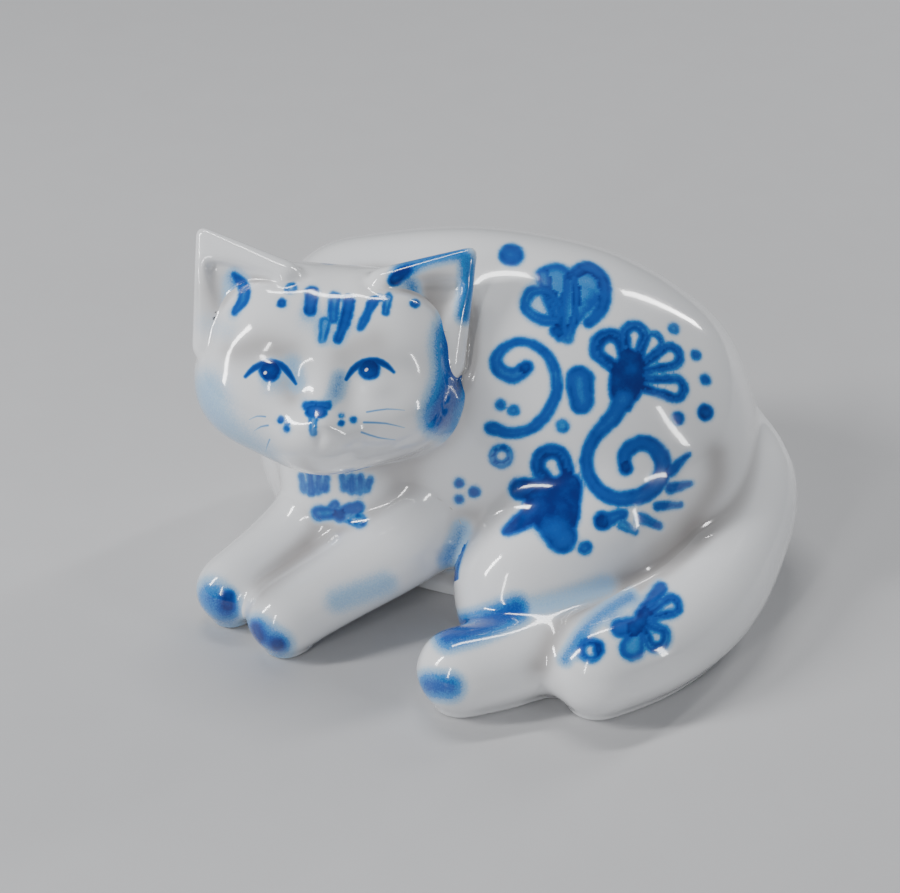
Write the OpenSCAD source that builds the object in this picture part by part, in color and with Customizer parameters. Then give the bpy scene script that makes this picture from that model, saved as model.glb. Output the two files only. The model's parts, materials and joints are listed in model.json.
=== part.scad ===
// Lying cat figurine of porcelain, slip-cast in separate moulds and luted together with slip.
// Millimetres. +X runs from the head end to the rump, +Y from the paws to the back, +Z up.
// The origin is on the table, under the middle of the whole figurine.

/* [Body casting] */
// Length of the body from shoulders to rump
body_length = 130; // [108:1:156]
// Depth of the body from belly to back
body_depth = 86; // [71:1:104]
// Height of the back above the table
body_height = 88; // [73:1:106]
// Thickness of every cast wall
wall = 4; // [3:0.5:5]
// Diameter of the pour hole under the body
pour_hole_d = 16; // [10:1:20]
// Diameter of the air hole from the head into the body
air_hole_d = 14; // [8:1:18]

/* [Head casting] */
// Width of the head across the cheeks
head_width = 65; // [54:1:78]
// Height of the head from chin to crown
head_height = 50; // [42:1:60]
// Depth of the head from nose to nape
head_depth = 52; // [43:1:62]
// Angle that the face looks up, in degrees
head_pitch = 22; // [10:1:30]
// Angle that the head leans towards its left ear, in degrees
head_roll = 4; // [-5:1:8]
// Angle that the face turns towards the rump, in degrees
head_yaw = 0; // [-8:1:8]

/* [Ears] */
// Height of an ear above the crown
ear_height = 8; // [6:0.5:10]
// Width of an ear where it meets the head
ear_width = 26; // [21:0.5:31]
// Thickness of an ear at its tip
ear_tip_t = 3; // [2.4:0.1:4]

/* [Legs] */
// Diameter of a forepaw
forepaw_d = 19; // [16:0.5:23]
// Diameter of a foreleg where it leaves the chest
foreleg_root_d = 29; // [24:0.5:34]
// Diameter of the hind paw
hind_paw_d = 21; // [17.5:0.5:25]
// Diameter of the hind leg at the heel
heel_d = 24; // [20:0.5:28]

/* [Tail] */
// Diameter of the tail near its tip
tail_tip_d = 25; // [21:0.5:30]
// Diameter of the tail where it leaves the rump
tail_root_d = 30; // [25:0.5:35]

/* [Luting] */
// Thickness of the fired slip between two castings
slip_t = 0.8; // [0.6:0.1:1.2]

/* [Hidden] */

ball_fn = 32;   // facets round a ball
hulls_per_span = 3;   // hulls between two stations of a chain
biscuit = [0.93, 0.92, 0.90];   // fired white clay
slip_colour = [0.86, 0.84, 0.80];
body_size = [body_length, body_depth, body_height];
head_size = [head_width, head_depth, head_height];
body_middle = [0.05 * body_length, 0.224 * body_depth, 0];   // from the origin

// ---- balls and chains of balls ----
function shares(size, p) = [p.x * size.x, p.y * size.y, p.z * size.z];
// A station is [place, radii along x, y and z]
function on_body(p, r) = [body_middle + shares(body_size, p), shares(body_size, r)];
function on_head(p, r) = [shares(head_size, p), shares(head_size, r)];
function limb_station(p, d) = [body_middle + shares(body_size, p), [d, d, d] / 2];

// The smooth curve from b to c that also heeds a before it and d after it
function curve(a, b, c, d, t) =
    0.5 * (2 * b + (c - a) * t + (2 * a - 5 * b + 4 * c - d) * t * t + (3 * b - a - 3 * c + d) * t * t * t);
function nearest(list, i) = list[max(0, min(len(list) - 1, i))];
function smooth(list) = [
    for (i = [0:len(list) - 2], k = [0:hulls_per_span - 1])
        curve(nearest(list, i - 1), list[i], list[i + 1], nearest(list, i + 2), k / hulls_per_span),
    list[len(list) - 1]
];

module ball(station, grow) {
    translate(station[0])
        scale(station[1] + [grow, grow, grow])
            sphere(r = 1, $fn = ball_fn);
}

// Balls along a smooth path, joined one to the next
module chain(stations, grow = 0) {
    path = smooth(stations);
    for (i = [0:len(path) - 2])
        hull() {
            ball(path[i], grow);
            ball(path[i + 1], grow);
        }
}

// The castings are sanded flat where they stand
module above(z) {
    reach = 2 * (body_length + body_depth + body_height);
    intersection() {
        children();
        translate([-reach / 2, -reach / 2, z]) cube(reach);
    }
}

// ---- body ----
spine = [
    on_body([-0.34, 0.10, 0.38], [0.21, 0.34, 0.54]),
    on_body([-0.12, 0.03, 0.38], [0.25, 0.46, 0.60]),
    on_body([0.10, 0.00, 0.35], [0.26, 0.49, 0.58]),
    on_body([0.25, 0.00, 0.30], [0.21, 0.44, 0.50])
];
thigh = [
    on_body([0.20, -0.10, 0.27], [0.18, 0.36, 0.40]),
    on_body([0.13, -0.33, 0.23], [0.18, 0.29, 0.34]),
    on_body([-0.02, -0.54, 0.16], [0.12, 0.18, 0.22])
];
chest = [
    on_body([-0.24, 0.00, 0.38], [0.20, 0.34, 0.38]),
    on_body([-0.31, -0.14, 0.38], [0.18, 0.27, 0.28])
];
module body_form(grow = 0) {
    chain(spine, grow);
    chain(thigh, grow);
    chain(chest, grow);
}

head_seat = body_middle + shares(body_size, [-0.37, -0.30, 0.755]);   // middle of the head
air_hole_tilt = [50, -25, 0];   // of the way from the body up into the head

module air_hole() {
    translate(head_seat)
        rotate(air_hole_tilt)
            translate([0, 0, -head_height])
                cylinder(h = head_height, d = air_hole_d, $fn = 48);
}

module pour_hole() {
    translate(body_middle - [0, 0, wall])
        cylinder(h = 3 * wall, d = pour_hole_d, $fn = 48);
}

module body_casting() {
    color(biscuit) difference() {
        above(0) body_form();
        above(wall) body_form(-wall);
        pour_hole();
        air_hole();
    }
}

// ---- head ----
module on_shoulders() {
    translate(head_seat) rotate([-head_pitch, head_roll, head_yaw]) children();
}

crown = on_head([0.17, 0.06, 0.05], [0.32, 0.42, 0.44]);
cheek = on_head([0.19, -0.02, -0.09], [0.305, 0.37, 0.33]);
chin = on_head([0, -0.10, -0.21], [0.26, 0.37, 0.29]);
muzzle = on_head([0, -0.37, -0.21], [0.18, 0.14, 0.15]);

module both_sides() {
    children();
    mirror([1, 0, 0]) children();
}

module head_form(grow = 0) {
    on_shoulders() {
        hull() {
            both_sides() ball(crown, grow);
            both_sides() ball(cheek, grow);
            ball(chin, grow);
        }
        ball(muzzle, grow);
    }
}

module head_casting() {
    color(biscuit) difference() {
        head_form();
        head_form(-wall);
        body_form(slip_t);
    }
}

module neck_slip() {
    color(slip_colour) difference() {
        intersection() {
            head_form();
            body_form(slip_t);
        }
        head_form(-wall);
        body_form();
    }
}

// ---- ears: side is 1 for the cat's left ear and -1 for its right ear ----
ear_foot_r = 4.5;   // roundness where an ear meets the head
ear_outer_foot = [head_width * 0.43, -5, head_height * 0.08];
ear_inner_foot = ear_outer_foot + ear_width * [-0.62, 0, 0.66];
ear_tip = [head_width * 0.49, -1, head_height / 2 + ear_height - ear_tip_t];
// The scoop in an ear's front, from the same three corners
scoop_r = 3;
scoop_front = ear_foot_r + scoop_r / 2;

module ear_form(side) {
    on_shoulders() scale([side, 1, 1]) difference() {
        hull() {
            ball([ear_outer_foot, [1, 1, 1] * ear_foot_r], 0);
            ball([ear_inner_foot, [1, 1, 1] * ear_foot_r], 0);
            ball([ear_tip, [1, 1, 1] * ear_tip_t / 2], 0);
        }
        hull() {
            ball([ear_outer_foot + [-scoop_r, -scoop_front, 3 * scoop_r], [1, 1, 1] * scoop_r], 0);
            ball([ear_inner_foot + [scoop_r, -scoop_front, 0], [1, 1, 1] * scoop_r], 0);
            ball([ear_tip + [-ear_tip_t, -ear_tip_t, -2.5 * ear_tip_t], [1, 1, 1] * ear_tip_t / 2], 0);
        }
    }
}

module ear(side) {
    color(biscuit) difference() {
        ear_form(side);
        head_form(slip_t);
        body_form(slip_t);
    }
}

module ear_slip(side) {
    color(slip_colour) difference() {
        intersection() {
            ear_form(side);
            head_form(slip_t);
        }
        head_form();
        body_form(slip_t);
    }
}

// ---- legs and tail ----
left_foreleg_path = [
    limb_station([-0.455, -0.58, 0.105], forepaw_d),
    limb_station([-0.33, -0.46, 0.17], forepaw_d + 2),
    limb_station([-0.22, -0.37, 0.25], foreleg_root_d - 4),
    limb_station([-0.15, -0.27, 0.33], foreleg_root_d)
];
right_foreleg_path = [
    limb_station([-0.565, -0.45, 0.10], forepaw_d - 1),
    limb_station([-0.46, -0.32, 0.17], forepaw_d + 1),
    limb_station([-0.35, -0.20, 0.28], foreleg_root_d - 3)
];
hind_leg_path = [
    limb_station([-0.12, -0.81, 0.11], hind_paw_d),
    limb_station([0.02, -0.73, 0.12], hind_paw_d + 1),
    limb_station([0.13, -0.57, 0.14], heel_d)
];
tail_path = [
    limb_station([0.13, -0.80, 0.13], tail_tip_d),
    limb_station([0.235, -0.70, 0.135], tail_tip_d + 1),
    limb_station([0.335, -0.52, 0.14], tail_tip_d + 2),
    limb_station([0.40, -0.29, 0.17], (tail_tip_d + tail_root_d) / 2),
    limb_station([0.42, -0.10, 0.25], tail_root_d),
    limb_station([0.36, 0.02, 0.34], tail_root_d)
];

module limb_form(path, grow = 0) {
    above(0) chain(path, grow);
}

// What a limb is luted onto: the body, and the limb that it lies beside
module bed(beside, grow = 0) {
    body_form(grow);
    if (len(beside) > 0) limb_form(beside, grow);
}

module limb_casting(path, beside = []) {
    color(biscuit) difference() {
        limb_form(path);
        bed(beside, slip_t);
    }
}

module limb_slip(path, beside = []) {
    color(slip_colour) difference() {
        intersection() {
            limb_form(path);
            bed(beside, slip_t);
        }
        bed(beside);
    }
}

body_casting();
head_casting();
ear(1);  // left_ear
ear(-1);  // right_ear
limb_casting(left_foreleg_path);  // left_foreleg
limb_casting(right_foreleg_path, left_foreleg_path);  // right_foreleg
limb_casting(hind_leg_path);  // left_hind_leg
limb_casting(tail_path, hind_leg_path);  // tail
neck_slip();
ear_slip(1);  // left_ear_slip
ear_slip(-1);  // right_ear_slip
limb_slip(left_foreleg_path);  // left_foreleg_slip
limb_slip(right_foreleg_path, left_foreleg_path);  // right_foreleg_slip
limb_slip(hind_leg_path);  // left_hind_leg_slip
limb_slip(tail_path, hind_leg_path);  // tail_slip
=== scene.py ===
import json
import math
import bpy
import numpy as np
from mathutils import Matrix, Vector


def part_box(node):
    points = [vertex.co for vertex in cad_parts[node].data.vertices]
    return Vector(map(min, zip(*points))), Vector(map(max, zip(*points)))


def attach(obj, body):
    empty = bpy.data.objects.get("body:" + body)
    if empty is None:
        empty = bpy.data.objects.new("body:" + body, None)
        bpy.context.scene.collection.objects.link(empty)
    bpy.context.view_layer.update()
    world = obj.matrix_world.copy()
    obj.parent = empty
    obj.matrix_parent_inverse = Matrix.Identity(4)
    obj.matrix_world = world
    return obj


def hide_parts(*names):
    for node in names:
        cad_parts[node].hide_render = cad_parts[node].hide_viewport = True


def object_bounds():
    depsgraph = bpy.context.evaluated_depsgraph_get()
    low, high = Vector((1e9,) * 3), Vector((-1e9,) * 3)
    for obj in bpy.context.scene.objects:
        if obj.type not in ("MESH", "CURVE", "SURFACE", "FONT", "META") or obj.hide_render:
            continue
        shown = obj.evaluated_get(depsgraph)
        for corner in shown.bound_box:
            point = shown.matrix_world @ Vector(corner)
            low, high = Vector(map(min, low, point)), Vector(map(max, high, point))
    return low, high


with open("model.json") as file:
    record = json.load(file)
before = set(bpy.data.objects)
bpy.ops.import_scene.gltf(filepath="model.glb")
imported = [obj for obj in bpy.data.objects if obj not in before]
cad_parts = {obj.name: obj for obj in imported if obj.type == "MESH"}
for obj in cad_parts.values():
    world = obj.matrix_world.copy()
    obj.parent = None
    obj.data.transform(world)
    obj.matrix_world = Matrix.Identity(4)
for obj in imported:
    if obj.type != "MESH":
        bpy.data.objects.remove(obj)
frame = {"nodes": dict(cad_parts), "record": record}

import openvdb
from mathutils import Matrix, Vector

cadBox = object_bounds()
mm = 0.001
print("frame loaded:", len(frame["nodes"]), "nodes")

camera = {
    "aim": (-12.8, 2.0, 38.3),    # mm
    "middle": (-1.5, -3.8, 30),   # mm, what the cat lies round
    "height": 35,                 # degrees above the table
    "distance": 540,              # mm
    "lens": 86.4,
    "sensor": 36,
    "clip": (0.01, 20),           # m
}


def makeCamera(c):
    lens = bpy.data.cameras.new("camera")
    lens.lens = c["lens"]
    lens.sensor_width = c["sensor"]
    lens.clip_start, lens.clip_end = c["clip"]
    holder = bpy.data.objects.new("camera", lens)
    bpy.context.scene.collection.objects.link(holder)
    tilt = math.radians(c["height"])
    away = Vector((0, -math.cos(tilt), math.sin(tilt)))
    holder.location = (Vector(c["middle"]) + away * c["distance"]) * mm
    holder.rotation_euler = (Vector(c["aim"]) * mm - holder.location).to_track_quat("-Z", "Y").to_euler()
    bpy.context.scene.camera = holder


makeCamera(camera)

form = {
    "voxel": 0.7,            # mm, on the body and limbs
    "headVoxel": 0.45,       # mm, on the head and ears
    "margin": 7.0,           # mm of air round the cat
    "headMargin": 10.0,      # mm of air round the head
    "reach": 12.0,           # mm that a field stays true from its surface
    "touching": 0.12,        # mm, faces nearer than this touch
    "bodySoftness": 4.5,     # mm, how far the body's planes melt into each other
    "softer": {              # mm of softness of its own, and how far off that starts and is full
        "head": (3.8, 7, 1),
        "limbs": (3.1, 9, 1),
        "ears": (1.0, 5, 0.8),
    },
    "foot": (0.2, 1.2),      # mm, how far the table edge sinks, and its rounding
    "seamBlur": 0.6,         # mm
    "wall": 4.0,             # mm, the cast wall
    "slip": 0.8,             # mm of slip in a joint
    "slipDepth": (1.2, 2.4),   # mm under the glaze at which the slip starts and is full
    "pourRadius": 8.0,       # mm, the hole underneath
    "airRadius": 7.0,        # mm, the hole from head to body
    "airRun": (-8, 16),      # mm, its two ends, from the middle of the box at the head
    "poolAndShadeReach": 3.0,        # mm, how wide the glaze pools, and the shade is painted, in a crease
    "pool": (0.08, 0.75),    # mm of hollowness at which the pooling and the painted shade start and are full
}
deep = -3   # mm, what a filled hollow reads


def meshArrays(node):
    mesh = frame["nodes"][node].data
    mesh.calc_loop_triangles()
    points = np.empty(len(mesh.vertices) * 3, np.float32)
    mesh.vertices.foreach_get("co", points)
    corners = np.empty(len(mesh.loop_triangles) * 3, np.int32)
    mesh.loop_triangles.foreach_get("vertices", corners)
    return points.reshape(-1, 3) / mm, corners.reshape(-1, 3)


class Grid:
    def __init__(self, low, high, step):
        self.step = step
        self.low = np.array(low, np.float64)
        self.shape = tuple(int(n) for n in np.ceil((np.array(high) - self.low) / step) + 1)

    def axes(self):
        return [self.low[a] + self.step * np.arange(self.shape[a]) for a in range(3)]

    def places(self):
        x, y, z = self.axes()
        return x[:, None, None], y[None, :, None], z[None, None, :]

    # signed distance to a closed mesh, true within reach of its surface
    def distance(self, points, triangles, reach):
        band = max(3, int(math.ceil(reach / self.step)))
        local = ((points - self.low) / self.step).astype(np.float32)
        field = openvdb.FloatGrid.createLevelSetFromPolygons(
            local, triangles=triangles.astype(np.uint32), transform=openvdb.createLinearTransform(1.0),
            halfWidth=band)
        out = np.full(self.shape, band, np.float32)
        field.copyToArray(out)
        return out * self.step

    # the same, measured again from where a field crosses a level
    def remeasured(self, field, level, reach):
        source = openvdb.FloatGrid(float(np.max(field)))
        source.copyFromArray(field.astype(np.float32))
        points, triangles, quads = source.convertToPolygons(level, 0.0)
        halves = np.concatenate([quads[:, [0, 1, 2]], quads[:, [0, 2, 3]]]) if len(quads) else quads[:, :3]
        corners = np.concatenate([triangles, halves]) if len(triangles) else halves
        return self.distance(points * self.step + self.low, corners, reach)

    # value of a field at points
    def sample(self, field, points):
        at = np.clip((points - self.low) / self.step, 0.001, np.array(self.shape) - 1.001)
        cell = at.astype(np.int64)
        part = at - cell
        total = np.zeros(len(points))
        for corner in range(8):
            bits = np.array([(corner >> a) & 1 for a in range(3)])
            share = np.prod(np.where(bits, part, 1 - part), axis=1)
            total += share * field[tuple((cell + bits).T)]
        return total

    # which way it rises there, and how steeply
    def slope(self, field, points):
        reachOut = 0.6 * self.step
        parts = []
        for axis in range(3):
            move = np.zeros(3)
            move[axis] = reachOut
            rise = self.sample(field, points + move) - self.sample(field, points - move)
            parts.append(rise / (2 * reachOut))
        return np.stack(parts, axis=1)


def blurred(field, radius):
    reach = int(math.ceil(3 * radius))
    weights = np.exp(-0.5 * (np.arange(-reach, reach + 1) / radius) ** 2)
    weights /= weights.sum()
    for axis in range(3):
        padded = np.pad(field, [(reach, reach) if a == axis else (0, 0) for a in range(3)], mode="edge")
        total = np.zeros_like(field)
        for i, weight in enumerate(weights):
            part = [slice(None)] * 3
            part[axis] = slice(i, i + field.shape[axis])
            total += np.float32(weight) * padded[tuple(part)]
        field = total
    return field


# soft, without shrinking round forms
def softened(field, radius):
    once = blurred(field, radius)
    return 2 * once - blurred(once, radius)


def smoothStep(low, high, value):
    t = np.clip((value - low) / (high - low), 0, 1)
    return t * t * (3 - 2 * t)


# cells shut in by a solid on both sides, before, behind and above
def shutIn(solid):
    once = np.logical_or.accumulate
    left = once(solid, axis=0)
    right = once(solid[::-1], axis=0)[::-1]
    front = once(solid, axis=1)
    back = once(solid[:, ::-1], axis=1)[:, ::-1]
    above = once(solid[:, :, ::-1], axis=2)[:, :, ::-1]
    return left & right & front & back & above & ~solid


# a limb, with the slip that holds it
def group(*names):
    return list(names) + [n + "_slip" for n in names]


groups = {
    "head": ["head_casting", "neck_slip"],
    "ears": group("left_ear", "right_ear"),
    "limbs": group("left_foreleg", "right_foreleg", "left_hind_leg", "tail"),
    "left_ear": group("left_ear"),
    "right_ear": group("right_ear"),
    "left_foreleg": group("left_foreleg"),
    "right_foreleg": group("right_foreleg"),
    "left_hind_leg": group("left_hind_leg"),
    "tail": group("tail"),
}
allNodes = sorted(frame["nodes"])
joints = ["neck", "left_ear", "right_ear", "left_foreleg", "right_foreleg", "left_hind_leg", "tail"]


def roundedMax(a, b, radius):
    return np.maximum(a, b) + np.maximum(radius - np.abs(a - b), 0) ** 2 / (4 * radius)


# the face is modelled on top of the plain head: (across, up, width, height, mm) with dips above 0
face = {
    "seat": (-41.6, -6.5, 66.4),
    "pitch": 22,
    "roll": 4,
    "front": (-4, -12),          # mm, how far behind the front the modelling fades in
    "sides": (45, 35),           # mm across, where it fades in
    "paired": [
        (12.0, 1.2, 6.0, 3.8, 1.7),      # eye socket
        (6.3, -2.2, 2.6, 3.4, 0.9),      # inner corner
        (12.0, 0.2, 3.3, 2.1, -1.2),     # eyeball
        (11.0, 7.5, 6.0, 2.8, -0.7),     # brow
        (4.3, -11.8, 3.4, 3.0, -0.9),    # muzzle pad
        (19.0, -9.0, 7.0, 6.0, -0.9),    # cheek
    ],
    "single": [
        (0, 0, 2.8, 7.0, -0.8),          # bridge of the nose
        (-0.3, -8.4, 2.5, 1.6, -1.3),    # nose
        (0, -11.6, 0.9, 1.8, 0.5),       # mouth line
        (0, -18.0, 6.0, 3.4, -0.5),      # chin
    ],
}


# head's own axes: across, towards the back, up
def headPlaces(x, y, z):
    pitch, roll = math.radians(face["pitch"]), math.radians(face["roll"])
    turn = np.array(Matrix.Rotation(roll, 3, "Y") @ Matrix.Rotation(-pitch, 3, "X"))
    away = [x - face["seat"][0], y - face["seat"][1], z - face["seat"][2]]
    return [sum(turn[row, column] * away[row] for row in range(3)) for column in range(3)]


def sculpted(grid):
    across, back, up = headPlaces(*grid.places())
    dips = np.zeros(grid.shape)
    marks = [(side * a, *rest) for side in (-1, 1) for a, *rest in face["paired"]] + face["single"]
    for a, b, width, height, depth in marks:
        dips += depth * np.exp(-0.5 * (((across - a) / width) ** 2 + ((up - b) / height) ** 2))
    return dips * smoothStep(*face["front"], back) * smoothStep(*face["sides"], np.abs(across))


# every field that the pieces are cut from, on one grid
def catFields(grid):
    step, reach, slip = grid.step, form["reach"], form["slip"]
    raw = {n: grid.distance(*meshArrays(n), reach) for n in allNodes}
    near = {g: np.minimum.reduce([raw[n] for n in members]) for g, members in groups.items()}
    x, y, z = grid.places()

    closed = form["touching"]
    everything = np.minimum.reduce(list(raw.values())) - closed
    bodyHollow = shutIn(raw["body_casting"] < 0)
    body = grid.remeasured(np.where(bodyHollow, deep, raw["body_casting"]), 0, reach)
    inHead = [(c > a / mm) & (c < b / mm) for c, a, b in zip((x, y, z), *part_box("head_casting"))]
    headHollow = shutIn(everything < 0) & (body > 0) & inHead[0] & inHead[1] & inHead[2]
    head = grid.remeasured(np.where(headHollow, deep, near["head"] - closed), 0, reach) + closed

    # mirrored below the table, so that softening leaves the sides upright there
    whole = np.where(bodyHollow | headHollow, deep, everything)
    belowFloor = int(round(-grid.low[2] / step))
    if belowFloor > 0:
        whole[:, :, :belowFloor] = whole[:, :, 2 * belowFloor:belowFloor:-1]
    whole = grid.remeasured(whole, 0, reach) + closed

    skin = softened(whole, form["bodySoftness"] / step)
    for name, (softness, start, full) in form["softer"].items():
        share = smoothStep(start, full, near[name])
        skin += share * (softened(whole, softness / step) - skin)
    sink, rounding = form["foot"]
    skin = roundedMax(skin, np.broadcast_to(-z - sink, skin.shape), rounding)

    # where one piece ends and the next begins: below 0 is the bed, above slip is the limb
    def seam(bed, limb):
        return bed - np.maximum(0, limb)

    headGroup = np.minimum(head, near["ears"])
    headOrLegs = headGroup - np.minimum(near["left_foreleg"], near["right_foreleg"])
    f = {"grid": grid, "body": body, "floor": np.broadcast_to(-z, grid.shape)}
    f["neck"] = np.minimum(seam(body, headGroup), -headOrLegs)
    f["left_ear"] = seam(head, near["left_ear"])
    f["right_ear"] = seam(head, near["right_ear"])
    f["left_foreleg"] = np.minimum(seam(body, near["left_foreleg"]), headOrLegs)
    bed = np.minimum(body, near["left_foreleg"])
    f["right_foreleg"] = np.minimum(seam(bed, near["right_foreleg"]), headOrLegs)
    f["left_hind_leg"] = seam(body, near["left_hind_leg"])
    f["tail"] = seam(np.minimum(body, near["left_hind_leg"]), near["tail"])
    for name in joints:
        f[name] = blurred(f[name].astype(np.float32), form["seamBlur"] / step)
        f[name + "_limb"] = f[name] - slip * smoothStep(*form["slipDepth"], -skin)
    # hollowness of the skin, for glaze pooled in creases and painted shade there
    f["pool"] = skin - blurred(skin, form["poolAndShadeReach"] / step)
    f["skin"] = (skin + sculpted(grid)).astype(np.float32)
    skin = f["skin"]

    # the hollows that the poured-out slip leaves, and the holes into them
    opening = {o["name"]: np.array(o["box_m"]) / mm for o in frame["record"]["physics"]["openings"]}
    pour = opening["pour_hole"].mean(0)
    top = form["wall"] + 1
    pourHole = np.maximum(np.hypot(x - pour[0], y - pour[1]) - form["pourRadius"], z - top)
    start, end = opening["air_hole_head_end"].mean(0), opening["air_hole_middle"].mean(0)
    along = (end - start) / np.linalg.norm(end - start)
    dx, dy, dz = x - start[0], y - start[1], z - start[2]
    t = np.clip(dx * along[0] + dy * along[1] + dz * along[2], *form["airRun"])
    airHole = np.sqrt((dx - t * along[0]) ** 2 + (dy - t * along[1]) ** 2 + (dz - t * along[2]) ** 2)
    airHole -= form["airRadius"]
    inside = np.minimum(np.minimum(body + form["wall"], pourHole), airHole)
    f["bodyHollow"] = -inside
    f["headHollow"] = -(skin + form["wall"])
    return f


# A recipe lists (field, sign, level): the piece is where sign * (field - level) is below 0.
glazeDepth = 1.7   # mm of solid above the slip in a joint
onFloor = [("skin", 1, 0), ("floor", 1, 0)]
bedsOnBody = ("neck", "left_foreleg", "right_foreleg", "left_hind_leg", "tail", "bodyHollow")
recipes = {
    "body_casting": onFloor + [(name, 1, 0) for name in bedsOnBody],
    "head_casting": [("skin", 1, 0), ("neck_limb", -1, 0), ("left_ear", 1, 0), ("right_ear", 1, 0),
                     ("headHollow", 1, 0)],
    "left_foreleg": onFloor + [("left_foreleg_limb", -1, 0), ("right_foreleg", 1, 0)],
    "right_foreleg": onFloor + [("right_foreleg_limb", -1, 0)],
    "left_hind_leg": onFloor + [("left_hind_leg_limb", -1, 0), ("tail", 1, 0)],
    "tail": onFloor + [("tail_limb", -1, 0)],
    "left_ear": [("skin", 1, 0), ("neck_limb", -1, 0), ("left_ear_limb", -1, 0)],
    "right_ear": [("skin", 1, 0), ("neck_limb", -1, 0), ("right_ear_limb", -1, 0)],
}
for joint in joints:
    layer = [("skin", 1, -glazeDepth), (joint, -1, 0), (joint + "_limb", 1, 0)]
    if joint == "neck":
        layer.append(("headHollow", 1, 0))
    elif "ear" in joint:
        layer.append(("neck_limb", -1, 0))
    if "leg" in joint or joint == "tail":
        layer.append(("floor", 1, 0))
    if joint == "left_foreleg":
        layer.append(("right_foreleg", 1, 0))
    if joint == "left_hind_leg":
        layer.append(("tail", 1, 0))
    recipes[joint + "_slip"] = layer


# drops crumbs: which corners hang together with enough faces
def mainParts(quads, count, least):
    mark = np.arange(count)
    while True:
        low = mark[quads].min(axis=1)
        fresh = mark.copy()
        np.minimum.at(fresh, quads.ravel(), np.repeat(low, 4))
        fresh = fresh[fresh]
        if (fresh == mark).all():
            break
        mark = fresh
    kinds, sizes = np.unique(mark[quads[:, 0]], return_counts=True)
    return np.isin(mark[quads[:, 0]], kinds[sizes > least * sizes.max()])


# the cells that a surface runs through: its quads, the field that made each, and where its corners start
def traced(stack):
    inside = np.max(stack, axis=0) < 0
    cells = tuple(n - 1 for n in inside.shape)
    count = np.zeros(cells, np.float32)
    places = np.zeros(cells + (3,), np.float32)
    active = np.zeros((len(stack),) + cells, bool)
    quads, labels = [], []
    numbers = np.arange(np.prod(cells)).reshape(cells)
    for axis in range(3):
        a = tuple(slice(0, -1) if k == axis else slice(None) for k in range(3))
        b = tuple(slice(1, None) if k == axis else slice(None) for k in range(3))
        crossing = np.argwhere(inside[a] != inside[b])
        if not len(crossing):
            continue
        ahead = crossing.copy()
        ahead[:, axis] += 1
        va = stack[(slice(None),) + tuple(crossing.T)]
        vb = stack[(slice(None),) + tuple(ahead.T)]
        startsInside = inside[tuple(crossing.T)]
        inner, outer = np.where(startsInside, va, vb), np.where(startsInside, vb, va)
        when = np.where(outer > 0, -inner / np.maximum(outer - inner, 1e-9), 2.0)
        label = np.argmin(when, axis=0)
        share = np.clip(when[label, np.arange(len(label))], 0, 1)
        share = np.where(startsInside, share, 1 - share)
        spot = crossing.astype(np.float32)
        spot[:, axis] += share
        u, v = [k for k in range(3) if k != axis]
        around = []
        valid = np.ones(len(crossing), bool)
        for du, dv in ((0, 0), (-1, 0), (-1, -1), (0, -1)):
            cell = crossing.copy()
            cell[:, u] += du
            cell[:, v] += dv
            valid &= (cell >= 0).all(1) & (cell < np.array(cells)).all(1)
            around.append(cell)
        for cell in around:
            c = tuple(cell[valid].T)
            np.add.at(count, c, 1)
            np.add.at(places, c, spot[valid])
            active[(label[valid],) + c] = True
        ids = np.stack([numbers[tuple(cell[valid].T)] for cell in around], axis=1)
        flip = startsInside[valid] == (axis == 1)
        ids[flip] = ids[flip][:, ::-1]
        quads.append(ids)
        labels.append(label[valid])
    used, quads = np.unique(np.concatenate(quads), return_inverse=True)
    start = places.reshape(-1, 3)[used] / count.reshape(-1)[used][:, None]
    return quads.reshape(-1, 4), np.concatenate(labels), start, active.reshape(len(stack), -1)[:, used]


# corners drawn onto every field that meets in their cell
def settled(part, fields, home, on):
    points = home.copy()
    kinds = np.arange(len(fields))
    for turn in range(cutting["turns"]):
        values = np.zeros((len(points), len(fields)))
        slopes = np.zeros((len(points), len(fields), 3))
        for k, field in enumerate(fields):
            rows = np.nonzero(on[k])[0]
            values[rows, k] = part.sample(field, points[rows])
            slopes[rows, k] = part.slope(field, points[rows])
        square = slopes @ slopes.transpose(0, 2, 1)
        square[:, kinds, kinds] += np.where(~on.T, 1.0, cutting["ease"])
        pull = np.linalg.solve(square, values[:, :, None])
        points = points - (slopes.transpose(0, 2, 1) @ pull)[:, :, 0]
        away = points - home
        length = np.maximum(np.linalg.norm(away, axis=1), 1e-9)
        points = home + away * np.minimum(1, cutting["leash"] * part.step / length)[:, None]
    return points


def cornerNormals(part, fields, points, quads, labels):
    normals = np.zeros((len(quads), 4, 3))
    for k, field in enumerate(fields):
        rows = np.nonzero(labels == k)[0]
        if len(rows):
            corners = np.unique(quads[rows])
            slope = part.slope(field, points[corners])
            slope /= np.maximum(np.linalg.norm(slope, axis=1), 1e-9)[:, None]
            lookup = np.zeros((len(points), 3))
            lookup[corners] = slope
            normals[rows] = lookup[quads[rows]]
    return normals


cutting = {
    "air": 6.5,      # mm kept round a node
    "crumb": 0.05,   # of the largest part's faces, and smaller parts are dropped
    "turns": 5,
    "ease": 0.02,    # softens the pull where fields nearly agree
    "leash": 0.8,    # voxels that a corner may move
}


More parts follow.
